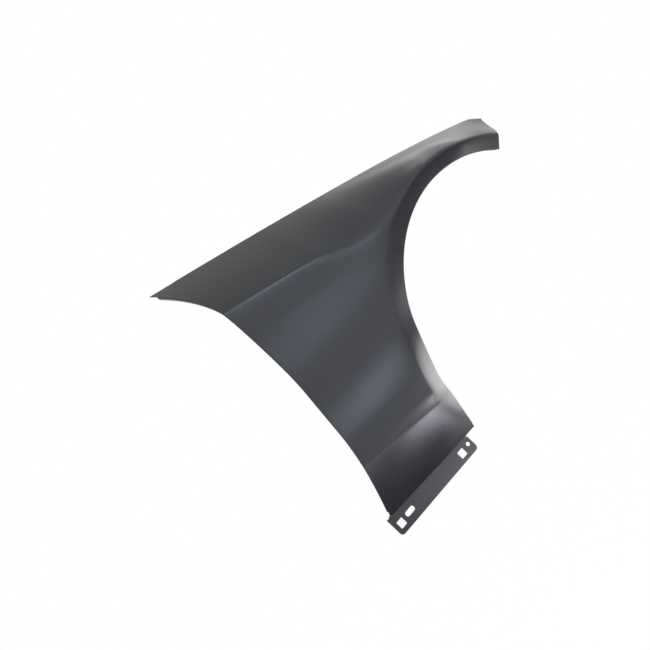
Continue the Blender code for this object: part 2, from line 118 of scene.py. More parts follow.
band = {
    "width": 0.036,             # from the arch's edge to the band's inner line
    "footHeight": 0.150,        # below which the foot opens out
    "footReach": 0.140,
    "slope": 0.50,              # of the band, inboard for each metre toward the edge
    "sideEase": 0.12,           # less slope above and behind the wheel
    "footGain": 0.24,           # more slope at the foot
    "flare": 0.007,             # of the foot, further in at the edge
    "flareReach": 0.170,
    "softness": 0.019,          # of the inner line behind the wheel's top
    "footSoftness": 0.020,      # and more at the foot
    "softAngle": 95.0,          # where that softness starts
    "easeAngle": 80.0,          # where the lesser slope starts
    "firmAngle": 140.0,         # and where it starts to end
    "blendAngle": 40.0,         # that each of these takes to come in
    "rearWidth": 0.048,         # of the wider band behind the wheel
    "rearAngle": 95.0,
    "crispShare": 0.85,         # of the band's lean, which turns sharply at its inner line
    "crispSoftness": 0.010,
    "crispFade": 0.030,         # above the lower crease, where the band opens into the tuck
    "crispEndAngle": 172.0,     # where the inner line's own row of edges ends
    "waist": 0.006,             # how much narrower it is ahead of the wheel's top
    "waistAngle": 73.0,
    "waistReach": 18.5,
}
tuck = {
    "creaseZ": 0.0318,          # of the lower crease, at the door
    "creaseAngle": 7.7,         # down to the front
    "creaseFrontX": -0.405,
    "frontX": -0.250,           # ahead of which there is no tuck
    "sillX": -0.6755,           # lowest rear corner of the skin
    "sillZ": -0.082,
    "sillAngle": 3.05,          # of the sill line, down to the front
    "inset": 0.065,             # of the sill line, inboard of the side's widest place
    "curl": 0.014,              # and further in toward the wheel
    "curlX": -0.560,
    "curlReach": 0.185,
    "bow": 0.0045,              # outboard, halfway from the crease to the sill
}
door = {
    "lowX": -0.6490,            # of the edge at the lower crease
    "shoulderX": -0.6185,       # at the shoulder crease
    "tipX": -0.6570,            # and at the hood line
    "bow": 0.0195,              # forward, between the creases
    "topBow": 0.0085,           # and above them
}
front = {
    "cornerX": 0.3185,          # where the front edge starts, by the hood line's end
    "cornerZ": 0.3715,
    "bandAngle": 54.21,         # where the nose meets the front edge, on the band's inner line
    "bow": 0.010,               # forward
}


def ease(value):
    value = min(max(value, 0.0), 1.0)
    return value * value * (3.0 - 2.0 * value)


def bulge(share):  # none at either end, one in the middle
    return 4.0 * share * (1.0 - share)


def ramp(height, softness):  # nothing below zero, straight above it, rounded between
    return (height + math.hypot(height, softness)) / 2.0


def swept(x, rearDepth, frontDepth):
    if x < side["widestX"]:
        return rearDepth * ((x - side["widestX"]) / side["rearReach"]) ** 2
    return frontDepth * ((x - side["widestX"]) / side["frontReach"]) ** 2


def sideSweep(x):
    return swept(x, side["rearSweep"], side["frontSweep"])


def hoodZ(x):
    return hoodLine["height"] - math.tan(math.radians(hoodLine["angle"])) * x


def hoodY(x):
    return hoodLine["inset"] + swept(x, hoodLine["rearSweep"], hoodLine["frontSweep"])


def bandWaist(angle):
    away = (angle - band["waistAngle"]) / band["waistReach"]
    return band["waist"] * max(1.0 - away * away, 0.0) ** 2


def turnZ(x):  # where the side turns into the top: the shoulder crease, then the arch band
    shift = ease((x - shoulder["shiftX"]) / shoulder["shiftReach"])
    crown = arch["radius"] + band["width"]
    angle = math.degrees(math.acos(min(max(x / crown, -1.0), 1.0)))
    crown -= bandWaist(angle)
    overArch = math.sqrt(max(crown * crown - x * x, 0.0))
    return (1.0 - shift) * (hoodZ(x) - shoulder["drop"]) + shift * overArch


def turnSlope(x):
    rear = shoulder["slope"] * (1.0 - ease((x - shoulder["fadeX"]) / shoulder["fadeReach"]))
    return rear + shoulder["frontSlope"] * ease(x / shoulder["frontSlopeReach"])


def turnWidth(x):
    soft = ease((x - shoulder["softX"]) / shoulder["softReach"])
    soft *= 1.0 - ease((x - shoulder["softEndX"]) / shoulder["softEndReach"])
    return shoulder["softness"] + (shoulder["fullSoftness"] - shoulder["softness"]) * soft


def lowerZ(x):
    return tuck["creaseZ"] - math.tan(math.radians(tuck["creaseAngle"])) * (x - door["lowX"])


def sillZ(x):
    return tuck["sillZ"] - math.tan(math.radians(tuck["sillAngle"])) * (x - tuck["sillX"])


def sillY(x):
    curl = max(x - tuck["curlX"], 0.0) / tuck["curlReach"]
    return tuck["inset"] + tuck["curl"] * curl * curl


def lowerArchCentre():
    reach = arch["radius"] - arch["lowerRadius"]
    angle = math.radians(arch["changeAngle"])
    return Vector((reach * math.cos(angle), reach * math.sin(angle)))


def archAngle(x, z):  # from ahead over the top, to 270 degrees
    angle = math.degrees(math.atan2(z, x))
    return angle + 360.0 if angle < -90.0 else angle


def archDistance(x, z):
    if archAngle(x, z) > arch["changeAngle"]:
        return (Vector((x, z)) - lowerArchCentre()).length - arch["lowerRadius"]
    return math.hypot(x, z) - arch["radius"]


def bandWidth(angle):
    rear = ease((angle - band["rearAngle"]) / band["blendAngle"])
    return band["width"] + (band["rearWidth"] - band["width"]) * rear - bandWaist(angle)


def bandDepth(x, z):  # how far the flared band leans in toward the wheel
    angle = archAngle(x, z)
    foot = ease((band["footHeight"] - z) / band["footReach"])
    soft = shoulder["softness"] + band["footSoftness"] * foot
    soft += band["softness"] * ease((angle - band["softAngle"]) / band["blendAngle"])
    sideEase = ease((angle - band["easeAngle"]) / band["blendAngle"])
    sideEase *= 1.0 - ease((angle - band["firmAngle"]) / band["blendAngle"])
    slope = band["slope"] - band["sideEase"] * sideEase + band["footGain"] * foot
    distance = archDistance(x, z)
    flare = max(1.0 - max(distance, 0.0) / band["flareReach"], 0.0) ** 2
    broad = ramp(band["width"] - distance, soft)
    firm = min(soft, band["crispSoftness"])
    width = bandWidth(angle)
    crisp = ramp(width - distance, firm) * ramp(band["width"], soft) / ramp(width, firm)
    share = band["crispShare"] * ease((z - lowerZ(x)) / band["crispFade"])
    lean = (1.0 - share) * broad + share * crisp  # as deep at the edge either way
    return slope * lean + band["flare"] * foot * flare


def sideDepth(x, z):
    share = (z - lowerZ(x)) / (turnZ(x) - lowerZ(x))
    share = min(max(share, 0.0), 1.0)
    fade = min(share / side["waveEndShare"], (1.0 - share) / side["waveEndShare"], 1.0)
    wave = math.sin(math.tau * (z - side["waveHeight"]) / side["wavePitch"])
    low = ease((side["lowWaveHeight"] + side["lowWaveReach"] - z) / side["lowWaveReach"])
    wave *= 1.0 + side["lowWaveGain"] * low
    return side["hollow"] * bulge(share) + side["wave"] * wave * fade


def topDepth(x, z):
    width = turnWidth(x)
    slope = turnSlope(x)
    full = ramp(hoodZ(x) - turnZ(x), width)
    rise = min(ramp(z - turnZ(x), width), full)
    curve = (hoodY(x) - sideSweep(x) - slope * full) / (full * full)
    return slope * rise + curve * rise * rise


def tuckDepth(x, z):
    inset = sillY(x) - sideSweep(x) - bandDepth(x, sillZ(x))
    height = lowerZ(x) - sillZ(x)
    down = ramp(lowerZ(x) - z, shoulder["softness"])
    share = min(down / height, 1.0)
    return inset * down / height - tuck["bow"] * bulge(share)


def skinY(x, z):  # the outer face: how far inboard it lies
    depth = sideSweep(x) + sideDepth(x, z) + topDepth(x, z) + bandDepth(x, z)
    if x < tuck["frontX"]:
        depth += tuckDepth(x, z)
    return depth


def skinNormal(x, z):
    step = panel["step"]
    across = (skinY(x + step, z) - skinY(x - step, z)) / (2.0 * step)
    upward = (skinY(x, z + step) - skinY(x, z - step)) / (2.0 * step)
    return Vector((across, -1.0, upward)).normalized()


# The folded flanges round the skin
flange = {
    "foldRows": 6,              # faces round a fold
    "flatRows": 2,              # and across its flat
    "doorWidth": 0.011,
    "doorFold": 122.0,          # past square, an open hem
    "doorTipRelief": 0.016,     # stretches of edge at the corners that stay unfolded
    "doorFootRelief": 0.010,
    "lipWidth": 0.016,
    "lipRelief": 0.008,
    "frontWidth": 0.014,
    "frontRelief": 0.012,
    "noseWidth": 0.010,
    "squareFold": 90.0,
}
rail = {
    "depth": 0.024,             # of the wall under the hood line
    "narrow": 0.013,            # ledge between the bolt pads
    "wide": 0.027,              # and at them
    "tipRelief": 0.062,
    "frontRelief": 0.012,
    "wallRows": 4,
    "ledgeRows": 4,
    "padHalf": 0.026,           # half a pad's length
    "padBlend": 0.016,          # over which the ledge widens to it
    "pads": (-0.540, -0.300, -0.060, 0.180),
}
sill = {
    "inset": 0.084,             # of the plate, inboard of the side's widest place
    "rearBottom": -0.1330,
    "frontBottom": -0.1363,
    "rearX": -0.681,
    "frontX": -0.4022,
    "stepRearX": -0.672,        # ends of the step from the skin in to the plate
    "stepFrontX": -0.4040,
    "corner": 0.009,
    "cornerSteps": 8,
    "rows": 8,                  # of faces across the step
}


def bowedLine(start, end, bow, pitch):  # from start up to, not with, end
    start, end = Vector(start), Vector(end)
    steps = max(round((end - start).length / pitch), 1)
    points = []
    for step in range(steps):
        share = step / steps
        point = start.lerp(end, share)
        point.x += bow * bulge(share)
        points.append((point.x, point.y))
    return points


def archPoint(angle, above=0.0):  # at an angle about the wheel centre, above the arch's edge
    direction = Vector((math.cos(math.radians(angle)), math.sin(math.radians(angle))))
    if angle <= arch["changeAngle"]:
        return tuple((arch["radius"] + above) * direction)
    centre = lowerArchCentre()
    along = centre.dot(direction)
    lower = arch["lowerRadius"] + above
    reach = along + math.sqrt(along * along - centre.dot(centre) + lower * lower)
    return tuple(reach * direction)


def archFoot():  # angle where the arch's edge meets the sill line
    low, high = arch["footAngles"]
    for _ in range(arch["halvings"]):
        middle = (low + high) / 2.0
        x, z = archPoint(middle)
        low, high = (middle, high) if z > sillZ(x) else (low, middle)
    return low


def archLine(firstAngle, lastAngle, pitch):
    reach = math.radians(abs(lastAngle - firstAngle)) * arch["radius"]
    steps = max(round(reach / pitch), 1)
    turn = (lastAngle - firstAngle) / steps
    return [archPoint(firstAngle + turn * step) for step in range(steps)]


def panelOutline():  # named stretches, anticlockwise as seen from outside
    pitch = panel["edgePitch"]
    tip = (door["tipX"], hoodZ(door["tipX"]))
    shoulderEnd = (door["shoulderX"], turnZ(door["shoulderX"]))
    crease = (door["lowX"], lowerZ(door["lowX"]))
    foot = (tuck["sillX"], sillZ(tuck["sillX"]))
    stepRear = (sill["stepRearX"], sillZ(sill["stepRearX"]))
    stepFront = (sill["stepFrontX"], sillZ(sill["stepFrontX"]))
    footAngle = archFoot()
    archEnd = archPoint(footAngle)
    relief = math.degrees(flange["lipRelief"] / arch["radius"])
    frontLow = archPoint(arch["frontAngle"])
    frontMid = archPoint(front["bandAngle"], band["width"])
    frontTop = (front["cornerX"], front["cornerZ"])
    hoodEnd = (hoodLine["frontX"], hoodZ(hoodLine["frontX"]))
    railEndX = hoodLine["frontX"] - rail["frontRelief"]
    railStartX = door["tipX"] + rail["tipRelief"]
    railEnd = (railEndX, hoodZ(railEndX))
    railStart = (railStartX, hoodZ(railStartX))
    doorTop = bowedLine(tip, shoulderEnd, door["topBow"], pitch)
    skipped = round(flange["doorTipRelief"] / pitch)
    inward = flange["frontRelief"] / (Vector(frontMid) - Vector(frontTop)).length
    frontIn = tuple(Vector(frontTop).lerp(Vector(frontMid), inward))
    frontOut = tuple(Vector(frontMid).lerp(Vector(frontTop), inward))
    footIn = flange["doorFootRelief"] / (Vector(crease) - Vector(foot)).length
    doorFoot = tuple(Vector(foot).lerp(Vector(crease), footIn))
    doorSide = bowedLine(shoulderEnd, crease, door["bow"], pitch)
    doorLow = bowedLine(crease, doorFoot, 0.0, pitch)
    relieved = archPoint(arch["frontAngle"] + relief)
    return (
        ("tip", doorTop[:skipped]),
        ("door", doorTop[skipped:] + doorSide + doorLow),
        ("doorCorner", [doorFoot, foot]),
        ("step", bowedLine(stepRear, stepFront, 0.0, pitch)),
        ("sillCorner", bowedLine(stepFront, archEnd, 0.0, pitch)),
        ("archFoot", [archEnd]),
        ("lip", archLine(footAngle - relief, arch["frontAngle"] + relief, pitch)),
        ("archNose", [relieved]),
        ("nose", bowedLine(frontLow, frontMid, 0.0, pitch)),
        ("noseCorner", [frontMid]),
        ("front", bowedLine(frontOut, frontIn, front["bow"], pitch)),
        ("frontCorner", [frontIn] + bowedLine(frontTop, hoodEnd, 0.0, pitch)),
        ("hoodCorner", [hoodEnd]),
        ("rail", bowedLine(railEnd, railStart, 0.0, pitch)),
        ("hoodTip", bowedLine(railStart, tip, 0.0, pitch)),
    )


def creaseLines():
    pitch = panel["edgePitch"]
    lines = []
    for firstX, lastX, height in (
        (door["shoulderX"], shoulder["frontX"], turnZ),
        (door["lowX"], tuck["creaseFrontX"], lowerZ),
    ):
        steps = round((lastX - firstX) / pitch)
        xs = [firstX + (lastX - firstX) * step / steps for step in range(steps + 1)]
        lines.append([(x, height(x)) for x in xs])
    turn = band["crispEndAngle"] - front["bandAngle"]
    steps = round(math.radians(turn) * (arch["radius"] + band["width"]) / pitch)
    angles = [front["bandAngle"] + turn * step / steps for step in range(steps + 1)]
    lines.append([archPoint(angle, bandWidth(angle)) for angle in angles])
    return lines


def crossings(z, polygon):
    places = []
    for (ax, az), (bx, bz) in zip(polygon, polygon[1:] + polygon[:1]):
        if (az > z) != (bz > z):
            places.append(ax + (z - az) * (bx - ax) / (bz - az))
    return places


def latticePoints(polygon, pitch):  # staggered rows that lie inside the outline
    rowHeight = pitch * math.sqrt(3.0) / 2.0
    xs = [p[0] for p in polygon]
    zs = [p[1] for p in polygon]
    points = []
    for row in range(1, int((max(zs) - min(zs)) / rowHeight) + 1):
        z = min(zs) + row * rowHeight
        walls = crossings(z, polygon)
        for column in range(int((max(xs) - min(xs)) / pitch) + 1):
            x = min(xs) + (column + (row % 2) / 2.0) * pitch
            if sum(wall > x for wall in walls) % 2:
                points.append((x, z))
    return points


def besidePoints(lines, polygon):  # rows that run along each crease
    points = []
    for line in lines:
        for (ax, az), (bx, bz) in zip(line, line[1:]):
            length = math.hypot(bx - ax, bz - az)
            acrossX, acrossZ = (az - bz) / length, (bx - ax) / length
            for offset in panel["creaseRows"]:
                for way in (-offset, offset):
                    x = (ax + bx) / 2.0 + way * acrossX
                    z = (az + bz) / 2.0 + way * acrossZ
                    if sum(wall > x for wall in crossings(z, polygon)) % 2:
                        points.append((x, z))
    return points


def thinned(candidates, fixed, pitch):  # drops what crowds the fixed points
    clear = panel["crowdingShare"] * pitch
    cells = {}
    for p in fixed:
        cells.setdefault((int(p[0] // pitch), int(p[1] // pitch)), []).append(p)
    kept = []
    for x, z in candidates:
        cx, cz = int(x // pitch), int(z // pitch)
        near = [p for i in (-1, 0, 1) for j in (-1, 0, 1) for p in cells.get((cx + i, cz + j), ())]
        if all(math.hypot(x - p[0], z - p[1]) > clear for p in near):
            kept.append((x, z))
    return kept


def addSkin(mesh, stretches):  # returns each stretch's vertices, ends shared
    polygon = [p for _, points in stretches for p in points]
    flat = list(polygon)
    edges = []
    lines = creaseLines()
    for line in lines:
        places = []
        for p in line:
            same = [i for i, q in enumerate(polygon)
                    if math.hypot(p[0] - q[0], p[1] - q[1]) < panel["joinGap"]]
            if not same:
                flat.append(p)
            places.append(same[0] if same else len(flat) - 1)
        edges += list(zip(places, places[1:]))
    flat += thinned(besidePoints(lines, polygon), polygon, panel["creaseRows"][0])
    flat += thinned(latticePoints(polygon, panel["facePitch"]), flat, panel["facePitch"])
    rim = [list(range(len(polygon)))]
    found = delaunay_2d_cdt([Vector(p) for p in flat], edges, rim, 1, panel["joinGap"])
    verts = [mesh.verts.new((p.x, skinY(p.x, p.y), p.y)) for p in found[0]]
    for face in found[2]:
        mesh.faces.new([verts[i] for i in face])
    vertexOf = {original: verts[new] for new, olds in enumerate(found[3]) for original in olds}
    runs = {}
    first = 0
    for name, points in stretches:
        last = first + len(points)
        runs[name] = [vertexOf[i % len(polygon)].co.copy() for i in range(first, last + 1)]
        first = last
    return runs


def addNode(tree, kind, inputs=None, **settings):  # an input is a value, a socket or a node
    node = tree.nodes.new(kind)
    for name, value in settings.items():
        setattr(node, name, value)
    for key, value in (inputs or {}).items():
        if isinstance(value, bpy.types.Node):
            value = next(socket for socket in value.outputs if socket.enabled)
        if isinstance(value, bpy.types.NodeSocket):
            tree.links.new(value, node.inputs[key])
        else:
            node.inputs[key].default_value = value
    return node


def linear(hexColour):  # sRGB hex to the linear values that Blender holds
    values = [int(hexColour[i:i + 2], 16) / 255.0 for i in (1, 3, 5)]
    curved = [v / 12.92 if v <= 0.04045 else ((v + 0.055) / 1.055) ** 2.4 for v in values]
    return (*curved, 1.0)


def newTree(name, sizes):  # a geometry tree with one named input for each size
    tree = bpy.data.node_groups.new(name, "GeometryNodeTree")
    tree.interface.new_socket("Geometry", in_out="INPUT", socket_type="NodeSocketGeometry")
    for label, kind in sizes:
        tree.interface.new_socket(label, in_out="INPUT", socket_type=kind)
    tree.interface.new_socket("Geometry", in_out="OUTPUT", socket_type="NodeSocketGeometry")
    return tree, tree.nodes.new("NodeGroupInput"), tree.nodes.new("NodeGroupOutput")


maths = "ShaderNodeMath"
vectorMaths = "ShaderNodeVectorMath"


def foldStage(tree, start, fromWay, toWay, reach, row, foldRows, flatRows, radius):
    # an arc that turns one way into the other, then a flat run
    cosine = addNode(tree, vectorMaths, {0: fromWay, 1: toWay}, operation="DOT_PRODUCT")
    angle = addNode(tree, maths, {0: cosine}, operation="ARCCOSINE")
    foldCount = addNode(tree, maths, {0: foldRows, 1: 1.0}, operation="MAXIMUM")
    inFold = addNode(tree, maths, {0: row, 1: foldCount}, operation="DIVIDE", use_clamp=True)
    turned = addNode(tree, maths, {0: angle, 1: inFold}, operation="MULTIPLY")
    shadow = addNode(tree, vectorMaths, {0: fromWay, "Scale": cosine}, operation="SCALE")
    square = addNode(tree, vectorMaths, {0: toWay, 1: shadow}, operation="SUBTRACT")
    square = addNode(tree, vectorMaths, {0: square}, operation="NORMALIZE")
    sine = addNode(tree, maths, {0: turned}, operation="SINE")
    ahead = addNode(tree, maths, {0: radius, 1: sine}, operation="MULTIPLY")
    turnedCosine = addNode(tree, maths, {0: turned}, operation="COSINE")
    aside = addNode(tree, maths, {0: 1.0, 1: turnedCosine}, operation="SUBTRACT")
    aside = addNode(tree, maths, {0: radius, 1: aside}, operation="MULTIPLY")
    arcAhead = addNode(tree, vectorMaths, {0: fromWay, "Scale": ahead}, operation="SCALE")
    arcAside = addNode(tree, vectorMaths, {0: square, "Scale": aside}, operation="SCALE")
    arcEnd = addNode(tree, vectorMaths, {0: arcAhead, 1: arcAside}, operation="ADD")
    pastFold = addNode(tree, maths, {0: row, 1: foldRows}, operation="SUBTRACT")
    flatCount = addNode(tree, maths, {0: flatRows, 1: 1.0}, operation="MAXIMUM")
    inFlat = addNode(tree, maths, {0: pastFold, 1: flatCount}, operation="DIVIDE", use_clamp=True)
    run = addNode(tree, maths, {0: reach, 1: inFlat}, operation="MULTIPLY")
    flat = addNode(tree, vectorMaths, {0: toWay, "Scale": run}, operation="SCALE")
    moved = addNode(tree, vectorMaths, {0: arcEnd, 1: flat}, operation="ADD")
    return addNode(tree, vectorMaths, {0: start, 1: moved}, operation="ADD")


def flangeTree():  # rows of points off each point of an edge: one fold, or two
    tree, given, result = newTree("foldedFlange", (
        ("Fold Radius", "NodeSocketFloat"), ("Fold Rows", "NodeSocketInt"),
        ("Flat Rows", "NodeSocketInt"), ("Second Fold Rows", "NodeSocketInt"),
        ("Second Flat Rows", "NodeSocketInt"), ("Material", "NodeSocketMaterial")))
    edge = given.outputs["Geometry"]
    radius = given.outputs["Fold Radius"]
    foldRows, flatRows = given.outputs["Fold Rows"], given.outputs["Flat Rows"]
    secondFold, secondFlat = given.outputs["Second Fold Rows"], given.outputs["Second Flat Rows"]
    firstRows = addNode(tree, maths, {0: foldRows, 1: flatRows}, operation="ADD")
    secondRows = addNode(tree, maths, {0: secondFold, 1: secondFlat}, operation="ADD")
    rows = addNode(tree, maths, {0: firstRows, 1: secondRows}, operation="ADD")
    rows = addNode(tree, maths, {0: rows, 1: 1.0}, operation="ADD")
    count = addNode(tree, "GeometryNodeAttributeDomainSize", {"Geometry": edge})
    grid = addNode(tree, "GeometryNodeMeshGrid",
                   {"Vertices X": count.outputs["Point Count"], "Vertices Y": rows})
    index = addNode(tree, "GeometryNodeInputIndex")
    middle = addNode(tree, maths, {0: index, 1: 0.5}, operation="ADD")
    column = addNode(tree, maths, {0: middle, 1: rows}, operation="DIVIDE")
    column = addNode(tree, maths, {0: column}, operation="FLOOR")
    passed = addNode(tree, maths, {0: column, 1: rows}, operation="MULTIPLY")
    row = addNode(tree, maths, {0: index, 1: passed}, operation="SUBTRACT")

    edgeValues = {}
    for name, kind in (("position", "FLOAT_VECTOR"), ("offWay", "FLOAT_VECTOR"),
                       ("firstWay", "FLOAT_VECTOR"), ("secondWay", "FLOAT_VECTOR"),
                       ("firstReach", "FLOAT"), ("secondReach", "FLOAT")):
        value = addNode(tree, "GeometryNodeInputNamedAttribute", {"Name": name}, data_type=kind)
        edgeValues[name] = addNode(
            tree, "GeometryNodeSampleIndex",
            {"Geometry": edge, "Value": value, "Index": column}, data_type=kind)

    first = foldStage(tree, edgeValues["position"], edgeValues["offWay"], edgeValues["firstWay"],
                      edgeValues["firstReach"], row, foldRows, flatRows, radius)
    secondRow = addNode(tree, maths, {0: row, 1: firstRows}, operation="SUBTRACT")
    twice = addNode(tree, maths, {0: secondFold, 1: 0.5}, operation="GREATER_THAN")
    secondRadius = addNode(tree, maths, {0: radius, 1: twice}, operation="MULTIPLY")
    folded = foldStage(tree, first, edgeValues["firstWay"], edgeValues["secondWay"],
                       edgeValues["secondReach"], secondRow, secondFold, secondFlat, secondRadius)
    placed = addNode(tree, "GeometryNodeSetPosition",
                     {"Geometry": grid.outputs[0], "Position": folded})
    flipped = addNode(tree, "GeometryNodeFlipFaces", {"Mesh": placed})
    real = addNode(tree, "GeometryNodeRealizeInstances", {"Geometry": flipped})
    coated = addNode(tree, "GeometryNodeSetMaterial",
                     {"Geometry": real, "Material": given.outputs["Material"]})
    tree.links.new(coated.outputs[0], result.inputs["Geometry"])
    return tree


def holeTree():  # round-cornered prisms at each point, to punch the sheet with
    tree, given, result = newTree("punchedHoles", (
        ("Length", "NodeSocketFloat"), ("Width", "NodeSocketFloat"), ("Corner", "NodeSocketFloat"),
        ("Corner Steps", "NodeSocketInt"), ("Reach", "NodeSocketFloat"),
        ("Material", "NodeSocketMaterial")))
    shape = addNode(tree, "GeometryNodeCurvePrimitiveQuadrilateral",
                    {"Width": given.outputs["Length"], "Height": given.outputs["Width"]})
    rounded = addNode(tree, "GeometryNodeFilletCurve",
                      {"Curve": shape, "Count": given.outputs["Corner Steps"],
                       "Radius": given.outputs["Corner"]}, mode="POLY")
    fill = addNode(tree, "GeometryNodeFillCurve", {"Curve": rounded}, mode="NGONS")
    depth = addNode(tree, maths, {0: given.outputs["Reach"], 1: 2.0}, operation="MULTIPLY")
    prism = addNode(tree, "GeometryNodeExtrudeMesh",
                    {"Mesh": fill, "Offset": (0.0, 0.0, 1.0), "Offset Scale": depth,
                     "Individual": False}, mode="FACES")
    base = addNode(tree, "GeometryNodeFlipFaces", {"Mesh": fill})
    joined = addNode(tree, "GeometryNodeJoinGeometry")
    tree.links.new(prism.outputs["Mesh"], joined.inputs[0])
    tree.links.new(base.outputs[0], joined.inputs[0])
    closed = addNode(tree, "GeometryNodeMergeByDistance",
                     {"Geometry": joined, "Distance": panel["joinGap"]})
    below = addNode(tree, maths, {0: given.outputs["Reach"], 1: -1.0}, operation="MULTIPLY")
    lowered = addNode(tree, "ShaderNodeCombineXYZ", {"Z": below})
    centred = addNode(tree, "GeometryNodeTransform", {"Geometry": closed, "Translation": lowered})
    turn = addNode(tree, "GeometryNodeInputNamedAttribute", {"Name": "turn"},
                   data_type="FLOAT_VECTOR")
    placed = addNode(tree, "GeometryNodeInstanceOnPoints",
                     {"Points": given.outputs["Geometry"], "Instance": centred, "Rotation": turn})
    real = addNode(tree, "GeometryNodeRealizeInstances", {"Geometry": placed})
    coated = addNode(tree, "GeometryNodeSetMaterial",
                     {"Geometry": real, "Material": given.outputs["Material"]})
    tree.links.new(coated.outputs[0], result.inputs["Geometry"])
    return tree


def newObject(name, data):
    made = bpy.data.objects.new(name, data)
    bpy.context.scene.collection.objects.link(made)
    return made


def bakedMesh(made):  # what its modifiers give, as a plain mesh
    graph = bpy.context.evaluated_depsgraph_get()
    return bpy.data.meshes.new_from_object(made.evaluated_get(graph))


def grown(tree, name, points, vectors, numbers, sizes):  # runs a tree on marked points
    mesh = bpy.data.meshes.new(name)
    mesh.from_pydata(points, [(i, i + 1) for i in range(len(points) - 1)], [])
    for label, values in vectors.items():
        mesh.attributes.new(label, "FLOAT_VECTOR", "POINT").data.foreach_set(
            "vector", [v for value in values for v in value])
    for label, values in numbers.items():
        mesh.attributes.new(label, "FLOAT", "POINT").data.foreach_set("value", values)
    made = newObject(name, mesh)
    modifier = made.modifiers.new(tree.name, "NODES")
    modifier.node_group = tree
    for item in tree.interface.items_tree:
        if item.in_out == "INPUT" and item.name in sizes:
            modifier[item.identifier] = sizes[item.name]
    result = bakedMesh(made)
    bpy.data.objects.remove(made, do_unlink=True)
    return result


def runFrames(run):  # place, way along, way off the edge and outer normal of each point
    frames = []
    for i, point in enumerate(run):
        along = (run[min(i + 1, len(run) - 1)] - run[max(i - 1, 0)]).normalized()
        normal = skinNormal(point.x, point.z)
        frames.append((point, along, along.cross(normal).normalized(), normal))
    return frames


def foldEnd(point, fromWay, toWay, radius):
    angle = fromWay.angle(toWay)
    square = (toWay - fromWay * math.cos(angle)).normalized()
    return point + radius * (math.sin(angle) * fromWay + (1.0 - math.cos(angle)) * square)


inboard = Vector((0.0, 1.0, 0.0))
downward = Vector((0.0, 0.0, -1.0))
hoodAngle = math.radians(hoodLine["angle"])
hoodDown = Vector((-math.sin(hoodAngle), 0.0, -math.cos(hoodAngle)))
hoodWay = Vector((math.cos(hoodAngle), 0.0, -math.sin(hoodAngle)))


def returnColumns(run, width, foldAngle):
    radius = panel["foldRadius"]
    angle = math.radians(foldAngle)
    columns = []
    for point, _, off, normal in runFrames(run):
        heading = math.cos(angle) * off - math.sin(angle) * normal
        columns.append((point, off, heading, heading, width - radius, 0.0))
    return columns


def railColumns(run):
    radius = panel["foldRadius"]
    columns = []
    for point, _, off, _ in runFrames(run):
        nearest = min(abs(point.x - pad) for pad in rail["pads"])
        onPad = ease((rail["padHalf"] + rail["padBlend"] - nearest) / rail["padBlend"])
        width = rail["narrow"] + (rail["wide"] - rail["narrow"]) * onPad
        fallen = (foldEnd(point, off, hoodDown, radius) - point).dot(hoodDown)
        wall = rail["depth"] - radius - fallen
        columns.append((point, off, hoodDown, inboard, wall, width - radius))
    return columns


def stepColumns(run):
    radius = panel["foldRadius"]
    columns = []
    for point, along, off, _ in runFrames(run):
        shelf = (inboard - inboard.dot(along) * along).normalized()
        turned = foldEnd(point, off, shelf, radius)
        reach = (sill["inset"] - foldEnd(turned, shelf, downward, radius).y) / shelf.y
        columns.append((point, off, shelf, downward, reach, 0.0))
    return columns


def foldedStrip(tree, name, columns, flatRows, secondFold, secondFlat):
    points, offWays, firstWays, secondWays, firstReach, secondReach = zip(*columns)
    vectors = {"offWay": offWays, "firstWay": firstWays, "secondWay": secondWays}
    numbers = {"firstReach": firstReach, "secondReach": secondReach}
    return grown(tree, name, points, vectors, numbers, {
        "Fold Radius": panel["foldRadius"], "Fold Rows": flange["foldRows"], "Flat Rows": flatRows,
        "Second Fold Rows": secondFold, "Second Flat Rows": secondFlat, "Material": coat})


def cornerArc(centreX, centreZ, firstAngle):  # a quarter turn
    corner = sill["corner"]
    points = []
    for step in range(sill["cornerSteps"] + 1):
        angle = math.radians(firstAngle + 90.0 * step / sill["cornerSteps"])
        points.append((centreX + corner * math.cos(angle), centreZ + corner * math.sin(angle)))
    return points


def addPlate(mesh, topRow):  # the sill flange's upright plate, under the step's second fold
    outline = [(p.x, p.z) for p in reversed(topRow)]
    outline.append((sill["rearX"], topRow[0].z))
    corner = sill["corner"]
    outline += cornerArc(sill["rearX"] + corner, sill["rearBottom"] + corner, 180.0)
    outline += cornerArc(sill["frontX"] - corner, sill["frontBottom"] + corner, 270.0)
    outline.append((sill["frontX"], topRow[-1].z - panel["foldRadius"]))
    rim = [list(range(len(outline)))]
    found = delaunay_2d_cdt([Vector(p) for p in outline], [], rim, 1, panel["joinGap"])
    verts = [mesh.verts.new((p.x, sill["inset"], p.y)) for p in found[0]]
    for face in found[2]:
        mesh.faces.new([verts[i] for i in face])


def takeMesh(mesh, added):
    mesh.from_mesh(added)
    bpy.data.meshes.remove(added)


# Satin black electrocoat, dipped and baked on pressed steel: a thin even film, with soft broad
# highlights and faint streaks where the sheet was drawn along the hood line
coatLook = {
    "colour": "#2a2c30",
    "roughness": 0.30,
    "roughnessSpread": 0.02,    # either way, in the streaks
    "ior": 1.5,
    "streakLength": 0.160,      # along the hood line
    "streakWidth": 0.0035,      # across it
    "streakDetail": 3.0,
    "streakRange": (0.3, 0.7),  # of the noise, stretched over the whole spread
    "peel": 0.0022,             # pitch of the film's faint orange peel
    "peelDepth": 0.0000035,
    "peelDetail": 1.0,
}


def emptyMaterial(name):
    material = bpy.data.materials.new(name)
    material.use_nodes = True
    material.node_tree.nodes.clear()
    return material


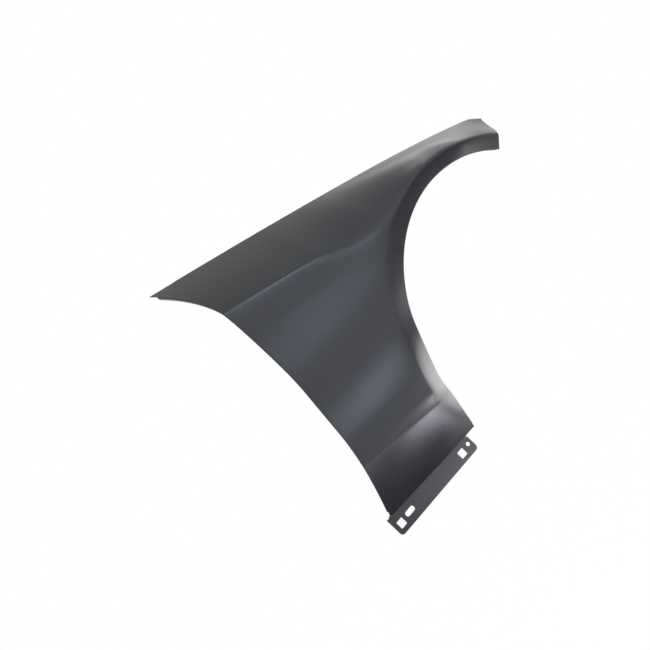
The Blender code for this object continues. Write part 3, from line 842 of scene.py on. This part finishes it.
def electrocoat():
    material = emptyMaterial("Satin black electrocoat, dipped and baked on pressed steel")
    tree = material.node_tree
    here = addNode(tree, "ShaderNodeTexCoord").outputs["Object"]
    streakSize = (1.0 / coatLook["streakLength"], 1.0 / coatLook["streakWidth"],
                  1.0 / coatLook["streakWidth"])
    drawn = addNode(tree, "ShaderNodeMapping",
                    {"Vector": here, "Rotation": (0.0, -hoodAngle, 0.0), "Scale": streakSize})
    streaks = addNode(tree, "ShaderNodeTexNoise",
                      {"Vector": drawn, "Scale": 1.0, "Detail": coatLook["streakDetail"]})
    faint, full = coatLook["streakRange"]
    low = coatLook["roughness"] - coatLook["roughnessSpread"]
    high = coatLook["roughness"] + coatLook["roughnessSpread"]
    roughness = addNode(tree, "ShaderNodeMapRange",
                        {"Value": streaks, "From Min": faint, "From Max": full,
                         "To Min": low, "To Max": high})
    peel = addNode(tree, "ShaderNodeTexNoise",
                   {"Vector": here, "Scale": 1.0 / coatLook["peel"],
                    "Detail": coatLook["peelDetail"]})
    bump = addNode(tree, "ShaderNodeBump",
                   {"Height": peel, "Strength": 1.0, "Distance": coatLook["peelDepth"]})
    coat = addNode(tree, "ShaderNodeBsdfPrincipled",
                   {"Base Color": linear(coatLook["colour"]), "Roughness": roughness,
                    "IOR": coatLook["ior"], "Normal": bump})
    addNode(tree, "ShaderNodeOutputMaterial", {"Surface": coat})
    return material


hole = {
    "reach": 0.004,             # half the depth that a punch goes through
    "cornerSteps": 7,
    "lip": 0.0065,
    "lipShares": (0.179, 0.368, 0.557, 0.745, 0.915),  # of the run, from the foot to the front
    "front": 0.0065,
    "frontShares": (0.3, 0.7),
    "railLength": 0.014,
    "railWidth": 0.009,
    "square": 0.018,
    "squareCorner": 0.002,
    "squareShares": ((0.073, 0.40), (0.862, 0.31)),  # of the plate's length and height
    "slotLength": 0.028,
    "slotWidth": 0.012,
    "slotShares": ((0.192, 0.455),),
    "round": 0.010,
    "roundShares": ((0.956, 0.385),),
}


# a place is a centre and the ways of the hole's length and width
def addPunches(mesh, tree, name, places, length, width, corner):
    turns = []
    for _, across, upward in places:
        through = across.cross(upward).normalized()
        upward = through.cross(across)
        turns.append(Matrix((across, upward, through)).transposed().to_euler())
    points = [centre for centre, _, _ in places]
    takeMesh(mesh, grown(tree, name, points, {"turn": turns}, {}, {
        "Length": length, "Width": width, "Corner": corner, "Corner Steps": hole["cornerSteps"],
        "Reach": hole["reach"], "Material": coat}))


def runPlaces(run, shares, width):  # in the middle of a return, at shares of its length
    frames = runFrames(run)
    radius = panel["foldRadius"]
    places = []
    for share in shares:
        point, along, off, normal = frames[round(share * (len(frames) - 1))]
        places.append((point + radius * off - (radius + width) / 2.0 * normal, along, normal))
    return places


def sillPlaces(shares):
    forward, up = Vector((1.0, 0.0, 0.0)), Vector((0.0, 0.0, 1.0))
    height = sillZ(sill["stepRearX"]) - sill["rearBottom"]
    places = []
    for along, above in shares:
        x = sill["rearX"] + along * (sill["frontX"] - sill["rearX"])
        z = sill["rearBottom"] + above * height
        places.append((Vector((x, sill["inset"], z)), forward, up))
    return places


def holePunches(runs):
    mesh = bmesh.new()
    tree = holeTree()
    for name in ("lip", "front"):
        places = runPlaces(runs[name], hole[name + "Shares"], flange[name + "Width"])
        across = hole[name]
        addPunches(mesh, tree, name + "Holes", places, across, across, across / 2.0)
    middle = panel["foldRadius"] + rail["wide"] / 2.0
    pads = []
    for x in rail["pads"]:
        edge = Vector((x, hoodY(x), hoodZ(x)))
        pads.append((edge + rail["depth"] * hoodDown + middle * inboard, hoodWay, inboard))
    across = hole["railWidth"]
    addPunches(mesh, tree, "railSlots", pads, hole["railLength"], across, across / 2.0)
    for name, shares, length, width, corner in (
        ("squareHoles", "squareShares", "square", "square", hole["squareCorner"]),
        ("sillSlot", "slotShares", "slotLength", "slotWidth", hole["slotWidth"] / 2.0),
        ("roundHole", "roundShares", "round", "round", hole["round"] / 2.0),
    ):
        addPunches(mesh, tree, name, sillPlaces(hole[shares]), hole[length], hole[width], corner)
    print("hole punches:", len(mesh.faces), "faces")
    return mesh


coat = electrocoat()


def pressedSheet():  # the whole panel as one sheet without thickness, and its edge runs
    mesh = bmesh.new()
    runs = addSkin(mesh, panelOutline())
    print("skin:", len(mesh.faces), "faces")
    tree = flangeTree()
    rows = flange["foldRows"]
    for name, width, foldAngle in (
        ("door", "doorWidth", "doorFold"), ("front", "frontWidth", "squareFold"),
        ("nose", "noseWidth", "squareFold"), ("lip", "lipWidth", "squareFold"),
    ):
        columns = returnColumns(runs[name], flange[width], flange[foldAngle])
        takeMesh(mesh, foldedStrip(tree, name + "Return", columns, flange["flatRows"], 0, 0))
    takeMesh(mesh, foldedStrip(tree, "hoodRail", railColumns(runs["rail"]), rail["wallRows"],
                               rows, rail["ledgeRows"]))
    steps = stepColumns(runs["step"])
    takeMesh(mesh, foldedStrip(tree, "sillStep", steps, sill["rows"], rows, 0))
    radius = panel["foldRadius"]
    topRow = []
    for point, off, shelf, down, reach, _ in steps:
        turned = foldEnd(point, off, shelf, radius) + reach * shelf
        topRow.append(foldEnd(turned, shelf, down, radius))
    addPlate(mesh, topRow)
    bmesh.ops.remove_doubles(mesh, verts=mesh.verts, dist=panel["joinGap"])
    print("skin with its flanges:", len(mesh.faces), "faces")
    return mesh, runs


def finishedPanel():  # the sheet gets its thickness, its holes and its shading
    mesh, runs = pressedSheet()
    punches = holePunches(runs)
    datumY = sill["inset"] + panel["thickness"]  # the plate's inner face
    shift = Matrix.Translation((place["wheelX"], -datumY, place["wheelZ"]))
    mesh.transform(shift)
    punches.transform(shift)
    sheet = bpy.data.meshes.new("sheet")
    mesh.to_mesh(sheet)
    sheet.materials.append(coat)
    punched = bpy.data.meshes.new("punches")
    punches.to_mesh(punched)
    rough = newObject("roughPanel", sheet)
    cutter = newObject("holePunches", punched)
    wall = rough.modifiers.new("thickness", "SOLIDIFY")
    wall.thickness = panel["thickness"]
    wall.offset = -1.0
    wall.use_even_offset = True
    holes = rough.modifiers.new("holes", "BOOLEAN")
    holes.operation = "DIFFERENCE"
    holes.solver = "EXACT"
    holes.object = cutter
    solid = bakedMesh(rough)
    solid.shade_smooth()
    solid.set_sharp_from_angle(angle=math.radians(panel["sharpAngle"]))
    piece = newObject("fenderPanel", solid)
    shading = piece.modifiers.new("shading", "WEIGHTED_NORMAL")
    shading.keep_sharp = True
    shaded = bakedMesh(piece)
    piece.modifiers.remove(shading)
    piece.data = shaded
    for spare in (rough, cutter):
        bpy.data.objects.remove(spare, do_unlink=True)
    return piece


fender = finishedPanel()
fender.data.name = "fenderPanel"
print("fender panel:", len(fender.data.polygons), "faces")
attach(fender, "root")
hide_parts("fender_panel")

# A plain white studio round a panel held in the air
studio = {
    "background": "#ffffff",
    "floorColour": "#f2f2f0",
    "floorSize": 60.0,
    "floorDrop": 1.60,          # below the panel's lowest place
    "floorShade": 0.25,         # how much of the shadow the floor shows
    "worldLight": 0.5,
}
boxes = {  # aimed at, way from there, distance, width, height, radiance, colour
    "sideBox": ((0.165, -0.05, 0.16), (0.925, -0.050, -0.370), 0.95, 0.92, 0.52, 4.6, "#fffefc"),
    "patchBox": ((0.05, -0.06, 0.115), (0.439, -0.703, -0.559), 0.80, 0.34, 0.19, 9.2, "#f0f0ff"),
    "footBox": ((0.09, -0.05, 0.10), (0.600, -0.540, -0.590), 0.60, 0.28, 0.30, 4.6, "#f2f2ff"),
    "creaseBox": ((0.0, -0.06, 0.15), (0.321, -0.883, -0.342), 2.5, 1.50, 0.14, 5.0, "#f4f7ff"),
    "backBox": ((0.577, -0.04, 0.53), (0.748, 0.333, 0.574), 2.2, 0.90, 1.00, 1.85, "#fffdf8"),
    "noseBox": ((0.585, -0.06, 0.506), (0.727, -0.155, 0.669), 0.70, 0.30, 0.30, 2.2, "#fbf8ff"),
    "outerBox": ((0.05, -0.06, 0.25), (0.330, -0.920, 0.215), 3.4, 0.80, 0.40, 13.5, "#d4e2ff"),
}
flagColour = "#0c0c0c"
flags = {  # dark cards that only reflections see: aimed at, way from there, distance, size
    "tuckFlag": ((-0.09, -0.04, 0.06), (0.020, -0.630, -0.776), 0.412, 0.45),
    "sillFlag": ((0.05, -0.03, 0.03), (0.349, -0.465, -0.814), 0.344, 0.21),
    "bandFlag": ((0.35, -0.07, 0.41), (0.785, -0.530, -0.285), 0.55, 0.36),
    "noseFlag": ((0.713, -0.05, 0.445), (0.564, -0.526, -0.636), 0.34, 0.10),
    "stepFlag": ((0.0, -0.02, -0.01), (0.420, 0.250, -0.873), 0.30, 0.36),
}


def whiteRays(tree):  # one for the rays that see the background straight or in a gloss
    light = addNode(tree, "ShaderNodeLightPath")
    seen = addNode(tree, maths,
                   {0: light.outputs["Is Camera Ray"], 1: light.outputs["Is Glossy Ray"]},
                   operation="MAXIMUM")
    return addNode(tree, maths, {0: seen, 1: light.outputs["Is Transmission Ray"]},
                   operation="MAXIMUM")


def squareMesh(name, size, material):
    mesh = bmesh.new()
    bmesh.ops.create_grid(mesh, x_segments=1, y_segments=1, size=size / 2.0)
    data = bpy.data.meshes.new(name)
    mesh.to_mesh(data)
    data.materials.append(material)
    return newObject(name, data)


def studioFloor():  # white where the light is even, and darker by a part of the shadow
    material = emptyMaterial("Matt white studio floor")
    tree = material.node_tree
    shade = studio["floorShade"]
    evenLight = linear(studio["floorColour"])[0] * studio["worldLight"]
    white = whiteRays(tree)
    hidden = addNode(tree, maths, {0: white, 1: 1.0 - shade}, operation="MULTIPLY")
    strength = addNode(tree, maths, {0: white, 1: 1.0 - shade * evenLight}, operation="MULTIPLY")
    matt = addNode(tree, "ShaderNodeBsdfDiffuse", {"Color": linear(studio["floorColour"])})
    black = addNode(tree, "ShaderNodeBsdfDiffuse", {"Color": (0.0, 0.0, 0.0, 1.0)})
    paler = addNode(tree, "ShaderNodeMixShader", {0: hidden, 1: matt, 2: black})
    glow = addNode(tree, "ShaderNodeEmission",
                   {"Color": linear(studio["background"]), "Strength": strength})
    both = addNode(tree, "ShaderNodeAddShader", {0: paler, 1: glow})
    addNode(tree, "ShaderNodeOutputMaterial", {"Surface": both})
    floor = squareMesh("floor", studio["floorSize"], material)
    floor.location.z = cadBox[0][2] - studio["floorDrop"]


def setFacing(made, aim, way, distance):  # out along a way, looking back at what it is aimed at
    way = Vector(way).normalized()
    made.location = Vector(aim) + distance * way
    made.rotation_euler = way.to_track_quat("Z", "Y").to_euler()


def flagCards():
    material = emptyMaterial("Matt black card")
    tree = material.node_tree
    matt = addNode(tree, "ShaderNodeBsdfPrincipled",
                   {"Base Color": linear(flagColour), "Roughness": 1.0})
    addNode(tree, "ShaderNodeOutputMaterial", {"Surface": matt})
    for name, (aim, way, distance, size) in flags.items():
        card = squareMesh(name, size, material)
        setFacing(card, aim, way, distance)
        card.visible_camera = card.visible_shadow = False


def softbox(name):
    aim, way, distance, width, height, radiance, colour = boxes[name]
    lamp = bpy.data.lights.new(name, "AREA")
    lamp.shape = "RECTANGLE"
    lamp.size, lamp.size_y = width, height
    lamp.color = linear(colour)[:3]
    lamp.energy = radiance * math.pi * width * height
    box = newObject(name, lamp)
    setFacing(box, aim, way, distance)
    box.visible_camera = False


def studioWorld():
    world = bpy.data.worlds.new("studio")
    bpy.context.scene.world = world
    world.use_nodes = True
    tree = world.node_tree
    tree.nodes.clear()
    strength = addNode(tree, "ShaderNodeMapRange",
                       {"Value": whiteRays(tree), "To Min": studio["worldLight"]})
    sky = addNode(tree, "ShaderNodeBackground",
                  {"Color": linear(studio["background"]), "Strength": strength})
    addNode(tree, "ShaderNodeOutputWorld", {"Surface": sky})


studioFloor()
flagCards()
for boxName in boxes:
    softbox(boxName)
studioWorld()
bpy.context.scene.view_settings.view_transform = "Standard"
print("studio set")

# The photograph's view: level, 26 degrees toward the front, and rolled
shot = {
    "turn": 26.0,
    "roll": 46.5,
    "distance": 3.0,
    "lens": 76.61,
    "sensor": 36.0,
    "target": (0.0743, -0.0548, 0.4109),
}


def addCamera():
    turn, roll = math.radians(shot["turn"]), math.radians(shot["roll"])
    ahead = Vector((math.sin(turn), math.cos(turn), 0.0))
    right = Vector((math.cos(turn), -math.sin(turn), 0.0))
    up = Vector((0.0, 0.0, 1.0))
    rolledRight = math.cos(roll) * right - math.sin(roll) * up
    rolledUp = math.sin(roll) * right + math.cos(roll) * up
    lens = bpy.data.cameras.new("photo camera")
    lens.lens = shot["lens"]
    lens.sensor_width = shot["sensor"]
    camera = newObject("photo camera", lens)
    axes = Matrix((rolledRight, rolledUp, -ahead)).transposed().to_4x4()
    eye = Vector(shot["target"]) - shot["distance"] * ahead
    camera.matrix_world = Matrix.Translation(eye) @ axes
    bpy.context.scene.camera = camera


addCamera()
print("camera placed")
